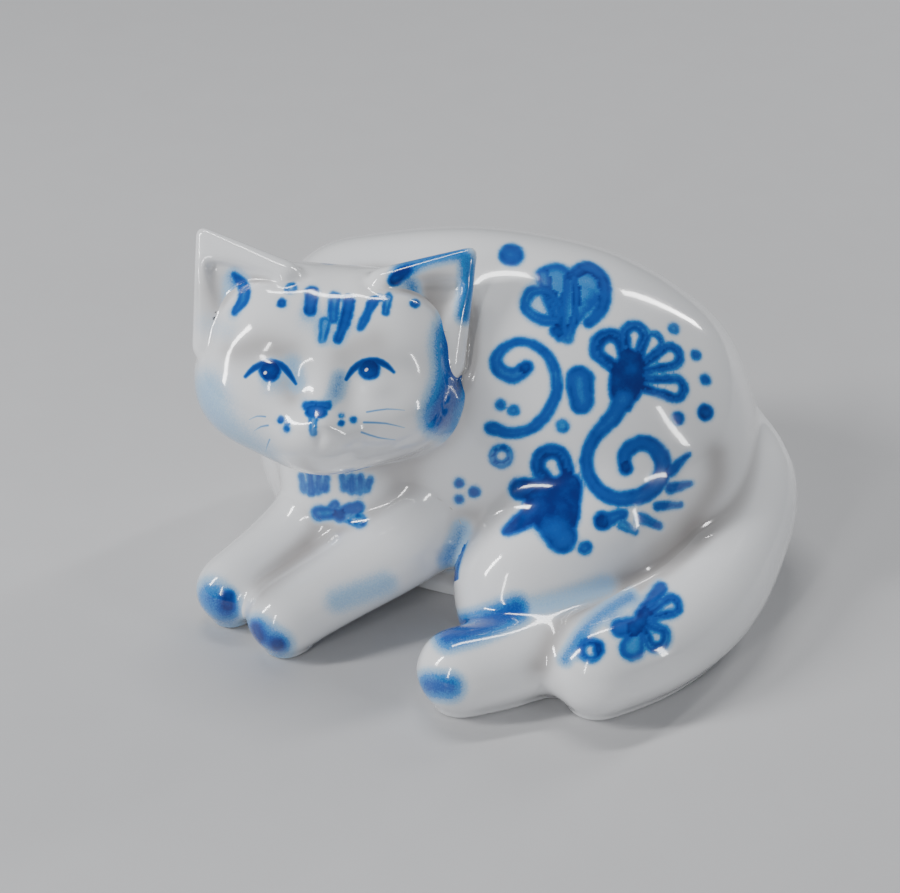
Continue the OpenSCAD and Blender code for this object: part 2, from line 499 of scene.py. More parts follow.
# one closed mesh where all the fields are below 0, with its edges drawn onto the seams
def cutPiece(f, node, recipe):
    grid = f["grid"]
    boxLow, boxHigh = [np.array(c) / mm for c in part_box(node)]
    first = np.maximum(np.floor((boxLow - cutting["air"] - grid.low) / grid.step).astype(int), 0)
    last = np.ceil((boxHigh + cutting["air"] - grid.low) / grid.step).astype(int)
    last = np.minimum(last, np.array(grid.shape) - 1)
    crop = tuple(slice(a, b + 1) for a, b in zip(first, last))
    part = Grid(grid.low + first * grid.step, grid.low + last * grid.step, grid.step)
    part.shape = tuple(last - first + 1)
    fields = [np.ascontiguousarray(sign * (f[name][crop] - level), np.float32)
              for name, sign, level in recipe]
    quads, labels, start, on = traced(np.stack(fields))
    keep = mainParts(quads, len(start), cutting["crumb"])
    kept, quads = np.unique(quads[keep], return_inverse=True)
    quads, labels = quads.reshape(-1, 4), labels[keep]
    points = settled(part, fields, part.low + start[kept] * part.step, on[:, kept])
    return points, quads, labels, cornerNormals(part, fields, points, quads, labels)


cadLow, cadHigh = [np.array(c) / mm for c in cadBox]


# A brush mark runs through points on a panel, in mm, with the brush's radius at each.
# tone: 0 thin to 1 dark. hollow: mm of ring left round a pale middle.
def stroke(points, radii, tone=0.6, hollow=0.0):
    return {"points": points, "radii": radii, "tone": tone, "hollow": hollow}


def dot(u, v, radius, tone=0.6, hollow=0.0):
    return stroke([(u, v), (u + 0.05, v)], [radius, radius], tone, hollow)


def petal(root, tip, rootRadius, tipRadius, tone=0.6, hollow=0.0):
    return stroke([root, tip], [rootRadius, tipRadius], tone, hollow)


# the same points with smooth bends between them
def bent(points, radii, steps=7):
    path = np.column_stack([np.array(points, float), np.array(radii, float)])
    if len(path) < 3:
        return path
    ends = np.concatenate([[2 * path[0] - path[1]], path, [2 * path[-1] - path[-2]]])
    out = []
    for i in range(1, len(ends) - 2):
        a, b, c, d = ends[i - 1:i + 3]
        for t in np.arange(steps) / steps:
            out.append(0.5 * (2 * b + (c - a) * t + (2 * a - 5 * b + 4 * c - d) * t * t
                              + (3 * b - a - 3 * c + d) * t ** 3))
    return np.array(out + [path[-1]])


# mm from the brush mark's edge, below 0 inside
def markDistance(places, path):
    best = np.full(len(places), 1e3)
    for a, b in zip(path[:-1], path[1:]):
        span = b[:2] - a[:2]
        along = np.clip((places - a[:2]) @ span / max(span @ span, 1e-9), 0, 1)
        away = np.linalg.norm(places - a[:2] - along[:, None] * span, axis=1)
        best = np.minimum(best, away - (a[2] + along * (b[2] - a[2])))
    return best


# the two sides that are painted: which way is up on each, and which way it faces
tilt = math.radians(camera["height"])
panels = {
    "front": {"up": (0, math.sin(tilt), math.cos(tilt)), "out": (0, -math.cos(tilt), math.sin(tilt))},
    "back": {"up": (0, -math.sin(tilt), math.cos(tilt)), "out": (0, math.cos(tilt), math.sin(tilt))},
}

trunk = ["body_casting", "left_hind_leg"]
crown = ["head_casting"]
nearLeg, farLeg, hindLeg, tail = ["left_foreleg"], ["right_foreleg"], ["left_hind_leg"], ["tail"]


def motif(on, marks, panel="front"):
    return {"panel": panel, "on": on, "marks": marks}


decor = {
    "tulip": motif(trunk, [
        petal((13.5, 62), (12.6, 72.4), 2.0, 4.6, 0.2),
        petal((15.5, 62), (19.5, 71.5), 2.2, 5.4, 0.2),
        stroke([(16.5, 74), (20, 76.4), (23.6, 74.4), (24.6, 70), (23.4, 65.5), (20.4, 62.2)],
               [1.2, 1.5, 1.4, 1.3, 1.4, 1.2], 0.7),
        stroke([(9.5, 74), (10.5, 70), (12.6, 65), (13.6, 58.5)], [1.6, 1.1, 1.0, 1.1], 0.5),
        stroke([(17, 73.6), (17.6, 69), (17, 63.5), (15.4, 58.2)], [0.8, 0.7, 0.8, 1.2], 0.6),
        stroke([(12.6, 62.4), (8.6, 62.8), (5.4, 65.6), (6.6, 69.4), (10.4, 69.8), (13.4, 66.6)],
               [1.2, 1.2, 1.1, 1.2, 1.1, 0.9], 0.55),
        dot(12.7, 60, 1.5, 0.85)]),
    "leftCurl": motif(trunk, [
        stroke([(5.6, 51), (2.6, 49), (-0.8, 50.6), (-1.4, 53.4), (1, 56.2), (5.2, 57.2), (10, 54.7),
                (12.7, 49.3),
                (12.3, 43.3), (8.7, 37.9), (3.3, 35.5), (-2.6, 36.6)],
               [1.6, 1.7, 1.6, 1.3, 1.0, 0.9, 1.1, 1.2, 1.2, 1.2, 1.1, 1.4], 0.6),
        dot(5.4, 51.1, 1.4, 0.85), dot(-0.4, 42.1, 1.1, 0.55), dot(2.7, 40.8, 1.2, 0.35)]),
    "loneSpots": motif(trunk, [
        dot(1.8, 79.1, 2.9, 0.6), dot(14.4, 37.3, 1.4, 0.25), dot(0, 30, 2.7, 0.3, 1.3),
        stroke([(18.4, 48.2), (18.9, 43)], [3.3, 2.7], 0.55),
        dot(-10.1, 23.4, 1.0), dot(-6.4, 21.3, 1.2, 0.8), dot(-10.1, 19.4, 0.95),
        dot(20.1, 8.4, 1.5, 0.5)]),
    "bigFlower": motif(trunk, [
        petal((28.6, 51), (25.6, 56), 2.6, 4.9, 0.72, 3.2),
        petal((30.8, 52), (31.6, 59.2), 2.0, 3.8, 0.6, 2.5),
        petal((32.4, 53), (36.2, 58), 1.4, 2.6, 0.42, 1.2),
        petal((34, 51.5), (40.4, 54.6), 1.8, 3.4, 0.65, 2.0),
        petal((34, 47.8), (41.4, 46.9), 2.0, 3.4, 0.65, 2.0),
        stroke([(30.6, 53), (29.6, 48), (28.6, 43)], [3.2, 4.2, 2.4], 1.0),
        stroke([(28.9, 44), (26.4, 39.6), (22.2, 34.8), (20.3, 29.4), (21.8, 24), (26, 20.6), (31.6, 20.4),
                (36.8, 23), (39, 28), (37.2, 32), (33.4, 33.6), (29.8, 31.2), (29.6, 27.4)],
               [2.4, 1.9, 1.5, 1.4, 1.5, 1.6, 1.7, 1.9, 2.0, 1.9, 1.7, 1.7, 1.5], 0.66),
        dot(29.8, 27.6, 1.5, 0.95),
        dot(41.5, 61.7, 1.2, 0.35), dot(47, 55.4, 1.1, 0.5), dot(49.3, 49.4, 1.2, 0.7),
        dot(49.3, 41.4, 1.9, 0.9),
        dot(42.3, 39.7, 1.4, 0.7)]),
    "leafDashes": motif(trunk, [
        petal((40.9, 27), (45.2, 31.1), 1.3, 0.35, 0.75), petal((41, 22.9), (46.2, 24.1), 1.3, 0.35, 0.7),
        petal((37.8, 18.5), (43.6, 18.9), 1.0, 0.5, 0.65), petal((33.6, 15.6), (38.4, 13.8), 1.2, 0.6, 0.6),
        dot(24.3, 14.9, 2.1, 0.9), petal((26.6, 15.6), (29, 16.6), 1.6, 1.2, 0.55),
        petal((29, 14), (32, 12.4), 1.0, 0.6, 0.3)]),
    "lowFlower": motif(trunk, [
        petal((13, 26.2), (12, 28), 4.4, 4.9, 0.75, 3.3),
        petal((4.6, 22.2), (12, 21.6), 2.6, 3.2, 0.85), petal((16.2, 23), (15, 15.5), 3.2, 3.6, 0.95),
        petal((10, 18), (12.4, 16), 4.6, 5.0, 0.9), petal((9.6, 17.6), (1.8, 12.2), 3.0, 1.3, 1.0),
        petal((13, 13), (14.6, 10.8), 3.6, 3.6, 0.62)]),
    "chest": motif(["body_casting"] + nearLeg + farLeg, [
        petal((-49.2, 24.4), (-48.6, 21.4), 0.6, 0.9, 0.55),
        petal((-46.9, 24.9), (-46.7, 20.8), 0.7, 1.0, 0.6),
        petal((-44.6, 24.9), (-44.8, 21), 0.7, 0.9, 0.6), petal((-42.6, 24.6), (-43, 21.6), 0.6, 0.8, 0.55),
        petal((-38.6, 24.6), (-38.2, 21.8), 0.6, 0.8, 0.55),
        petal((-36.4, 24.6), (-36.2, 21.2), 0.7, 0.9, 0.6),
        petal((-34.1, 24.4), (-34.4, 21), 0.7, 0.9, 0.6), petal((-31.8, 24), (-32.8, 21.6), 0.6, 0.8, 0.55),
        petal((-41, 15.6), (-45, 15.4), 1.4, 1.8, 0.5), petal((-38.6, 16), (-35, 17), 1.2, 1.5, 0.6),
        petal((-38, 14.6), (-34.4, 13.8), 1.2, 1.6, 0.45, 0.9),
        petal((-41.4, 17), (-40.6, 17.6), 1.0, 1.0, 0.5),
        dot(-39.6, 15, 1.6, 0.95)]),
    "farToe": motif(farLeg, [
        petal((-66.8, -5.4), (-66.8, -7.6), 1.5, 1.6, 0.75)]),
    "nearToe": motif(nearLeg, [
        petal((-59, -12.4), (-58.4, -14.6), 1.2, 1.4, 0.5), dot(-53.6, -16.4, 1.5, 0.5)]),
    "tailFlower": motif(tail, [
        petal((33.4, -7.4), (38.4, -1), 1.6, 1.3, 0.75),
        petal((36.6, -6.6), (40.6, -4.8), 1.8, 2.6, 0.62, 1.8),
        petal((34.4, -9.6), (36.8, -12), 2.0, 3.4, 0.5, 2.3),
        petal((32.6, -10.4), (31, -14.2), 1.6, 2.9, 0.28),
        petal((32.2, -9.4), (28.2, -9.9), 1.8, 2.0, 0.6), petal((34.4, -6.6), (31.4, -10), 1.4, 1.7, 0.9),
        dot(21.2, -15, 2.7, 0.45, 1.4), petal((23.1, -13.9), (23.1, -14.9), 1.1, 1.2, 0.95)]),
    "forehead": motif(crown, [
        dot(-51.5, 64.5, 1.0, 0.65), dot(-49.7, 68.2, 1.3, 0.15),
        petal((-44.7, 67.4), (-44.8, 62.8), 1.5, 1.3, 0.72),
        petal((-39.3, 66.2), (-39.4, 61), 1.3, 1.2, 0.5),
        stroke([(-36, 65.4), (-36.5, 61), (-38.2, 56)], [1.4, 1.4, 0.9], 0.78),
        petal((-41.2, 60), (-41.7, 55.8), 1.2, 0.8, 0.18),
        stroke([(-30.3, 65.4), (-31.7, 62.1), (-33, 59.2)], [1.1, 1.0, 0.9], 0.72),
        petal((-26.9, 66.6), (-27.4, 62.8), 0.9, 0.8, 0.4), dot(-28.9, 66.2, 0.8, 0.3)]),
    "muzzle": motif(crown, [
        stroke([(-45, 40.6), (-42.6, 40.5), (-40.2, 40.6)], [1.0, 1.1, 1.0], 0.72),
        petal((-43.6, 39.2), (-41.5, 39.2), 1.4, 1.4, 0.72),
        petal((-43.1, 37.2), (-43.1, 34.2), 1.0, 0.7, 0.25),
        dot(-50.9, 37.3, 0.6, 0.6), dot(-49.4, 35.2, 0.7, 0.6), dot(-49.2, 36.5, 0.45, 0.2),
        dot(-36.9, 38.4, 0.5, 0.25), dot(-36.8, 36.7, 0.55, 0.6), dot(-34.2, 37.5, 0.7, 0.65)]),
    "eyes": motif(crown, [
        dot(-53.8, 48.7, 2.5, 0.95), dot(-30.8, 49.3, 2.45, 0.95)]),
    "rightEar": motif(["right_ear"] + crown, [
        stroke([(-63.6, 71.6), (-61, 68.6), (-60.8, 65.6), (-62.6, 62.6)], [0.5, 1.3, 1.4, 0.9], 0.62)]),
    "leftEar": motif(["left_ear"] + crown, [
        petal((-25.6, 70.8), (-22.8, 73), 1.5, 1.2, 0.9), dot(-20.9, 65.2, 1.0, 0.6)]),
    "backSprig": motif(["body_casting"], [
        stroke([(-26, 10), (-16, 18), (-4, 20), (8, 14), (16, 6), (24, 6), (28, 12), (24, 18), (18, 15)],
               [0.9, 1.2, 1.4, 1.4, 1.4, 1.5, 1.6, 1.5, 1.2], 0.62),
        petal((-4, 23), (-9, 30), 1.6, 3.4, 0.7, 1.6), petal((-3, 24), (-1, 33), 1.6, 3.6, 0.62, 1.7),
        petal((-1, 23), (6, 29), 1.6, 3.2, 0.7, 1.5), dot(-2.6, 22.6, 2.4, 0.95),
        petal((4, 12), (-1, 5), 0.8, 2.0, 0.55), petal((10, 17), (15, 23), 0.8, 1.9, 0.55),
        dot(-17, 28, 1.4, 0.6), dot(-22, 24, 1.1, 0.5), dot(14, 31, 1.4, 0.6), dot(20, 27, 1.1, 0.5),
        dot(-14, 8, 1.2, 0.5), dot(34, 20, 1.2, 0.6), dot(36, 13, 1.0, 0.5)], "back"),
    "nape": motif(crown, [
        petal((-42, 68), (-42, 61), 1.4, 0.9, 0.7), petal((-48, 67), (-47, 61), 1.1, 0.8, 0.55),
        petal((-36, 67), (-37, 61), 1.1, 0.8, 0.55)], "back"),
}

# airbrushed cobalt, and painted shade in creases and hollows: the pieces it falls on, its path, mm of
# spread, and how strong
def spray(on, points, width, amount):
    return {"on": on, "points": points, "width": width, "amount": amount}


sprays = {
    "cobalt": [
        spray(crown, [(-9.6, 63), (-12, 57), (-11.6, 48), (-14.4, 38.6)], 3.0, 1.0),
        spray(crown, [(-70, 43), (-66, 34), (-58, 27)], 5.5, 0.3),
        spray(crown, [(-48.6, 50), (-47.6, 46)], 2.2, 0.3),
        spray(crown, [(-51, 45), (-54, 44.5)], 2.2, 0.16),
        spray(crown, [(-37.5, 47), (-38.4, 43.6)], 1.7, 0.4),
        spray(crown, [(-45, 61), (-39, 58)], 3.0, 0.18),
        spray(["left_ear"] + crown, [(-24, 73), (-17, 76.4), (-9.6, 77), (-8.6, 70), (-9.2, 63)], 1.6, 0.7),
        spray(["left_ear"], [(-21.6, 69.6), (-21, 65.2)], 1.5, 0.5),
        spray(["right_ear"], [(-63.4, 70), (-63, 64)], 2.4, 0.35),
        spray(["right_ear"] + crown, [(-70, 60), (-64, 58)], 3.0, 0.14),
        spray(trunk, [(-12, -12.4), (-4, -10), (4, -6.4)], 2.4, 1.0),
        spray(trunk, [(4, -6.4), (13, -4.6), (25, -0.6)], 2.6, 0.28),
        spray(nearLeg + ["body_casting"], [(-9.5, 12), (-12.7, 4)], 2.0, 0.4),
        spray(nearLeg, [(-39, -5.5), (-28, -1.5)], 3.0, 0.28),
        spray(farLeg, [(-71, -6), (-68, -9)], 3.4, 0.75),
        spray(nearLeg, [(-58.6, -13.5), (-54, -16.4)], 2.8, 0.8),
        spray(hindLeg, [(-16, -24.2), (-11.4, -24.2)], 2.4, 0.9),
        spray(tail, [(15.5, -17.4), (19.6, -11), (25.6, -6.2), (31.2, -3)], 1.4, 0.5),
        spray(trunk, [(10, 68), (20, 70)], 4.0, 0.2),
        spray(trunk, [(12, 20), (12, 14)], 3.0, 0.3),
        spray(tail, [(33, -9)], 5.0, 0.14),
    ],
    # painted shade: a dark warm tint in the eye sockets, over the brows, inside the ears and in the creases
    # between legs, thigh and tail
    "paintedShade": [
        spray(crown, [(-62, 53.6), (-56, 54.6), (-50.4, 52.6)], 2.8, 0.62),
        spray(crown, [(-36.4, 53.6), (-30, 55.6)], 2.8, 0.5),
        spray(crown, [(-50.4, 46), (-48.4, 43.4)], 2.0, 0.7),
        spray(["right_ear"], [(-67, 68), (-66, 63)], 3.6, 0.7),
        spray(["left_ear"], [(-17, 69), (-16, 66)], 3.4, 0.75),
        spray(trunk, [(52.5, 31), (52.3, 24), (46, 14), (36, 6), (25, -1.5)], 2.6, 0.72),
        spray(hindLeg + tail, [(25, -1.5), (15, -9), (9.6, -19)], 2.2, 0.75),
        spray(crown, [(-30, 25.5), (-18, 30)], 3.0, 0.4),
        spray(farLeg + nearLeg, [(-58, -3), (-48, 7)], 2.4, 0.6),
    ],
}
brushwork = {
    "clear": 4.0,                # mm from the nearest mark that bare glaze reads
    "edgeOn": -0.04,             # how far a mark runs over the side that faces away
    "covers": 0.1,               # mm outside itself that a later mark still covers an earlier one
    "sprayFades": (-0.25, 0.1),  # how squarely a point faces the spray where it fades in
}


def normalised(v):
    return v / np.maximum(np.linalg.norm(v, axis=1), 1e-9)[:, None]


# brush marks at a piece's points: mm from a mark's edge, the mark's tone, how deep inside it
def inked(node, points, normals):
    edge, tone, core = np.full(len(points), brushwork["clear"]), np.zeros(len(points)), np.zeros(len(points))
    for item in decor.values():
        if node not in item["on"]:
            continue
        panel = panels[item["panel"]]
        seen = np.nonzero(normals @ np.array(panel["out"]) > brushwork["edgeOn"])[0]
        flat = np.column_stack([points[seen, 0], points[seen] @ np.array(panel["up"])])
        for mark in item["marks"]:
            path = bent(mark["points"], mark["radii"])
            reach = path[:, 2].max() + brushwork["clear"]
            low, high = path[:, :2].min(0) - reach, path[:, :2].max(0) + reach
            near = np.nonzero(((flat > low) & (flat < high)).all(1))[0]
            away = markDistance(flat[near], path)
            depth = np.clip(-away / path[:, 2].mean(), 0, 1)
            if mark["hollow"]:
                inner = -(away + mark["hollow"])
                depth = np.where(inner > away, 0, np.clip(-away / mark["hollow"], 0, 1))
                depth = np.minimum(depth, 1 - depth) * 2
                away = np.maximum(away, np.minimum(inner, 1.0))
            rows = seen[near]
            over = (away < edge[rows]) | (away < brushwork["covers"])
            tone[rows[over]], core[rows[over]] = mark["tone"], depth[over]
            edge[rows] = np.minimum(edge[rows], away)
    return np.column_stack([edge, tone, core])


# how much of the airbrushed cobalt or of the painted shade falls on each point
def sprayed(kind, node, points, normals):
    panel = panels["front"]
    flat = np.column_stack([points[:, 0], points @ np.array(panel["up"])])
    cloud = np.zeros(len(points))
    for item in sprays[kind]:
        if node in item["on"]:
            ends = item["points"] * 2 if len(item["points"]) == 1 else item["points"]
            away = np.maximum(markDistance(flat, bent(ends, [0] * len(ends))), 0)
            cloud = np.maximum(cloud, item["amount"] * np.exp(-0.5 * (away / item["width"]) ** 2))
    return cloud * smoothStep(*brushwork["sprayFades"], normals @ np.array(panel["out"]))


def makePiece(name, node, f, cut, recipe, coat, bare):
    points, quads, labels, normals = cut
    points = np.clip(points, cadLow, cadHigh)
    mesh = bpy.data.meshes.new(name)
    mesh.vertices.add(len(points))
    mesh.vertices.foreach_set("co", (points * mm).astype(np.float32).ravel())
    mesh.loops.add(len(quads) * 4)
    mesh.loops.foreach_set("vertex_index", quads.astype(np.int32).ravel())
    mesh.polygons.add(len(quads))
    mesh.polygons.foreach_set("loop_start", np.arange(0, len(quads) * 4, 4, dtype=np.int32))
    mesh.materials.append(coat)
    mesh.materials.append(bare)
    glazed = np.array([item[0] == "skin" for item in recipe])[labels]
    mesh.polygons.foreach_set("material_index", (~glazed).astype(np.int32))
    mesh.polygons.foreach_set("use_smooth", np.ones(len(quads), bool))
    mesh.update(calc_edges=True)
    mesh.validate()
    mesh.normals_split_custom_set(normals.reshape(-1, 3).astype(np.float32))
    if not node.endswith("_slip"):
        grid = f["grid"]
        outward = normalised(grid.slope(f["skin"], points))
        # airbrushed cobalt, painted shade, and pooled glaze darkened as painted shade in the creases
        shade = [sprayed(kind, node, points, outward) for kind in ("cobalt", "paintedShade")]
        shade.append(smoothStep(*form["pool"], grid.sample(f["pool"], points)))
        for label, rows in (("ink", inked(node, points, outward)), ("shade", np.column_stack(shade))):
            layer = mesh.attributes.new(label, "FLOAT_VECTOR", "POINT")
            layer.data.foreach_set("vector", rows.astype(np.float32).ravel())
    piece = bpy.data.objects.new(name, mesh)
    bpy.context.scene.collection.objects.link(piece)
    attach(piece, "root")
    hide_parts(node)
    return piece


# a node tree, filled a line at a time
class Sheet:
    def __init__(self, tree):
        self.tree = tree

    def add(self, kind, inputs=None, **settings):
        made = self.tree.nodes.new(kind)
        for name, value in settings.items():
            setattr(made, name, value)
        for name, value in (inputs or {}).items():
            self.feed(made.inputs[name], value)
        return made

    def feed(self, socket, value):
        if isinstance(value, bpy.types.NodeSocket):
            self.tree.links.new(value, socket)
        else:
            socket.default_value = value

    def math(self, operation, a, b=0.0, clamped=False):
        return self.add("ShaderNodeMath", {0: a, 1: b}, operation=operation, use_clamp=clamped).outputs[0]

    def vector(self, operation, a, b=(0, 0, 0), out=0):
        return self.add("ShaderNodeVectorMath", {0: a, 1: b}, operation=operation).outputs[out]

    def ramp(self, value, low, high, toLow=0.0, toHigh=1.0):
        limits = {"Value": value, "From Min": low, "From Max": high, "To Min": toLow, "To Max": toHigh}
        return self.add("ShaderNodeMapRange", limits, interpolation_type="SMOOTHSTEP").outputs[0]

    def noise(self, place, scale, detail=2.0):
        return self.add("ShaderNodeTexNoise", {"Vector": place, "Scale": scale, "Detail": detail}).outputs[0]


def makeGroup(name, inputs, outputs):
    tree = bpy.data.node_groups.new(name, "ShaderNodeTree")
    for label, kind in inputs.items():
        tree.interface.new_socket(label, in_out="INPUT", socket_type="NodeSocket" + kind)
    for label, kind in outputs.items():
        tree.interface.new_socket(label, in_out="OUTPUT", socket_type="NodeSocket" + kind)
    sheet = Sheet(tree)
    return tree, sheet, sheet.add("NodeGroupInput").outputs, sheet.add("NodeGroupOutput").inputs


def floats(*labels):
    return {label: "Float" for label in labels}


# where a point lies on the front panel, in mm, and how squarely it faces it
def makePanelGroup():
    tree, sheet, given, wanted = makeGroup("frontPanel", {"Point": "Vector", "Normal": "Vector"},
                                           {"Place": "Vector", "Facing": "Float"})
    large = sheet.vector("MULTIPLY", given["Point"], (1000, 1000, 1000))
    across = sheet.vector("DOT_PRODUCT", large, (1, 0, 0), "Value")
    up = sheet.vector("DOT_PRODUCT", large, panels["front"]["up"], "Value")
    place = sheet.add("ShaderNodeCombineXYZ", {"X": across, "Y": up})
    sheet.feed(wanted["Place"], place.outputs[0])
    facing = sheet.vector("DOT_PRODUCT", given["Normal"], panels["front"]["out"], "Value")
    sheet.feed(wanted["Facing"], facing)
    return tree


# mm from the edge of one fine brush line
def makeLineGroup():
    tree, sheet, given, wanted = makeGroup(
        "fineLine", {"Place": "Vector", "Start": "Vector", "End": "Vector",
                     **floats("Start radius", "End radius")}, floats("Distance"))
    away = sheet.vector("SUBTRACT", given["Place"], given["Start"])
    span = sheet.vector("SUBTRACT", given["End"], given["Start"])
    along = sheet.math("DIVIDE", sheet.vector("DOT_PRODUCT", away, span, "Value"),
                       sheet.vector("DOT_PRODUCT", span, span, "Value"), clamped=True)
    foot = sheet.add("ShaderNodeVectorMath", {0: span, "Scale": along}, operation="SCALE").outputs[0]
    gap = sheet.vector("DISTANCE", away, foot, "Value")
    radius = sheet.add("ShaderNodeMix", {0: along, 2: given["Start radius"], 3: given["End radius"]})
    sheet.feed(wanted["Distance"], sheet.math("SUBTRACT", gap, radius.outputs[0]))
    return tree


# how much cobalt lies on the clay, from brush marks and airbrush
def makeBrushGroup():
    tree, sheet, given, wanted = makeGroup(
        "cobaltBrush", {"Point": "Vector", **floats("Edge", "Tone", "Core", "Spray", "Softness", "Halo")},
        floats("Density", "Inside"))
    wobble = sheet.math("MULTIPLY", sheet.math("SUBTRACT", sheet.noise(given["Point"], 420, 3), 0.5), 1.1)
    edge = sheet.math("ADD", given["Edge"], wobble)
    inside = sheet.ramp(edge, sheet.math("MULTIPLY", given["Softness"], 1.0),
                        sheet.math("MULTIPLY", given["Softness"], -1.0))
    body = sheet.math("ADD", sheet.math("MULTIPLY", given["Tone"], 0.6), 0.3)
    thin = sheet.math("MULTIPLY", sheet.math("SUBTRACT", 1.15, given["Tone"]), 0.62)
    rim = sheet.math("MULTIPLY", sheet.math("SUBTRACT", 0.5, given["Core"]), thin)
    patchy = sheet.math("MULTIPLY", sheet.math("SUBTRACT", sheet.noise(given["Point"], 260, 4), 0.5), 0.5)
    laid = sheet.math("ADD", sheet.math("ADD", body, rim), patchy, True)
    laid = sheet.math("MULTIPLY", laid, inside)
    grain = sheet.ramp(sheet.noise(given["Point"], 2600, 2), 0.3, 0.7, 0.82, 1.08)
    misted = sheet.math("MULTIPLY", given["Spray"], grain, True)
    halo = sheet.math("MULTIPLY", sheet.ramp(given["Edge"], 2.2, -0.6), given["Halo"])
    misted = sheet.math("ADD", misted, sheet.math("MULTIPLY", halo, grain), True)
    left = sheet.math("SUBTRACT", 1.0, laid)
    total = sheet.math("ADD", laid, sheet.math("MULTIPLY", misted, sheet.math("MULTIPLY", left, 0.8)), True)
    sheet.feed(wanted["Density"], total)
    sheet.feed(wanted["Inside"], inside)
    return tree


# mottle of a fired glaze: a tint, its roughness and its orange-peel height
def makeGlazeGroup():
    tree, sheet, given, wanted = makeGroup("glazeSurface", {"Point": "Vector"},
                                           floats("Tint", "Roughness", "Height", "Speck"))
    sheet.feed(wanted["Tint"], sheet.ramp(sheet.noise(given["Point"], 45, 4), 0.3, 0.7))
    sheet.feed(wanted["Roughness"], sheet.ramp(sheet.noise(given["Point"], 90, 3), 0.25, 0.75, 0.12, 0.2))
    peel = sheet.math("ADD", sheet.noise(given["Point"], 130, 1),
                      sheet.math("MULTIPLY", sheet.noise(given["Point"], 520, 1), 0.3))
    sheet.feed(wanted["Height"], peel)
    cells = sheet.add("ShaderNodeTexVoronoi", {"Vector": given["Point"], "Scale": 150.0})
    lot = sheet.add("ShaderNodeSeparateColor", {0: cells.outputs["Color"]}).outputs[0]
    rare = sheet.math("GREATER_THAN", lot, 0.93)
    spot = sheet.ramp(cells.outputs["Distance"], 0.035, 0.015)
    sheet.feed(wanted["Speck"], sheet.math("MULTIPLY", rare, spot))
    return tree


# fine grain of bare fired clay
def makeGrainGroup():
    tree, sheet, given, wanted = makeGroup("clayGrain", {"Point": "Vector"},
                                           floats("Shade", "Roughness", "Height"))
    fine = sheet.noise(given["Point"], 1500, 4)
    sheet.feed(wanted["Shade"], sheet.math("ADD", sheet.math("MULTIPLY", fine, 0.4),
                                           sheet.math("MULTIPLY", sheet.noise(given["Point"], 60, 3), 0.6)))
    sheet.feed(wanted["Roughness"], sheet.ramp(fine, 0.2, 0.8, 0.72, 0.92))
    sheet.feed(wanted["Height"], fine)
    return tree


shared = {
    "panel": makePanelGroup(),
    "line": makeLineGroup(),
    "brush": makeBrushGroup(),
    "glaze": makeGlazeGroup(),
    "grain": makeGrainGroup(),
}

coats = {
    "white": (0.80, 0.81, 0.83),
    "mottle": (0.86, 0.86, 0.86),
    # glaze pooled in creases, darkened further as painted shade
    "pooledAndShaded": (0.40, 0.38, 0.375),
    # the colour of the painted shade in creases and hollows
    "paintedShade": (0.22, 0.19, 0.175),
    "speck": (0.10, 0.09, 0.08),
    "glint": (0.9, 0.92, 0.95),
    "strength": {"mottle": 0.35, "pooledAndShaded": 0.75, "paintedShade": 0.8},
    "cobalt": [(0.0, (0.80, 0.81, 0.83)), (0.18, (0.36, 0.55, 0.76)), (0.42, (0.03, 0.22, 0.58)),
               (0.7, (0.0, 0.075, 0.38)), (1.0, (0.0, 0.015, 0.17))],
    "biscuit": [(0.3, (0.66, 0.62, 0.55)), (0.7, (0.80, 0.77, 0.71))],
    "opaque": 0.22,        # the density of cobalt that hides the white
    "gloss": {"IOR": 1.5, "Specular IOR Level": 0.25, "Coat Weight": 1.0, "Coat Roughness": 0.05,
              "Coat IOR": 1.5},
    "peel": 0.00004,       # m, the glaze's waviness
    "inkRelief": 0.00003,  # m, how proud the brushwork stands
    "grain": 0.0001,       # m, the relief of bare clay
}

# thin lines drawn on the face with the finest brush, and the painted highlights in the eyes: points, radii,
# tone
fineLines = {
    "lids": {"tone": 0.85, "soft": 0.5, "lines": [
        [(-59.5, 47.3, 0.4), (-57.4, 49.3, 0.75), (-54.2, 50.4, 0.95), (-51.3, 50.0, 0.85),
         (-49.4, 48.2, 0.75),
         (-47.7, 45.7, 0.35)],
        [(-36.1, 46.9, 0.4), (-34.6, 49.2, 0.7), (-32.2, 50.8, 0.85), (-29.2, 51.2, 0.85),
         (-26.9, 50.3, 0.65),
         (-25.2, 48.8, 0.3)]]},
    "whiskers": {"tone": 0.34, "soft": 0.22, "lines": [
        [(-31.2, 39.4, 0.22), (-26.6, 40.2, 0.18), (-22.6, 40, 0.05)],
        [(-31.8, 37, 0.3), (-27, 36.9, 0.22), (-22.6, 36, 0.06)],
        [(-32.3, 34.7, 0.28), (-28.6, 33.6, 0.2), (-24.8, 33.2, 0.05)],
        [(-54.6, 38, 0.2), (-56.6, 38.1, 0.16), (-58.6, 37.3, 0.05)],
        [(-54, 36, 0.26), (-55.8, 35.7, 0.2), (-57.6, 34.7, 0.05)],
        [(-53.8, 32.8, 0.22), (-54.6, 31.4, 0.18), (-55.4, 29.8, 0.05)]]},
    "glints": {"tone": -1.0, "soft": 0.14, "lines": [
        [(-54.9, 48.1, 0.32), (-54.8, 48.2, 0.32)], [(-31.6, 49.1, 0.3), (-31.4, 49.3, 0.3)]]},
}


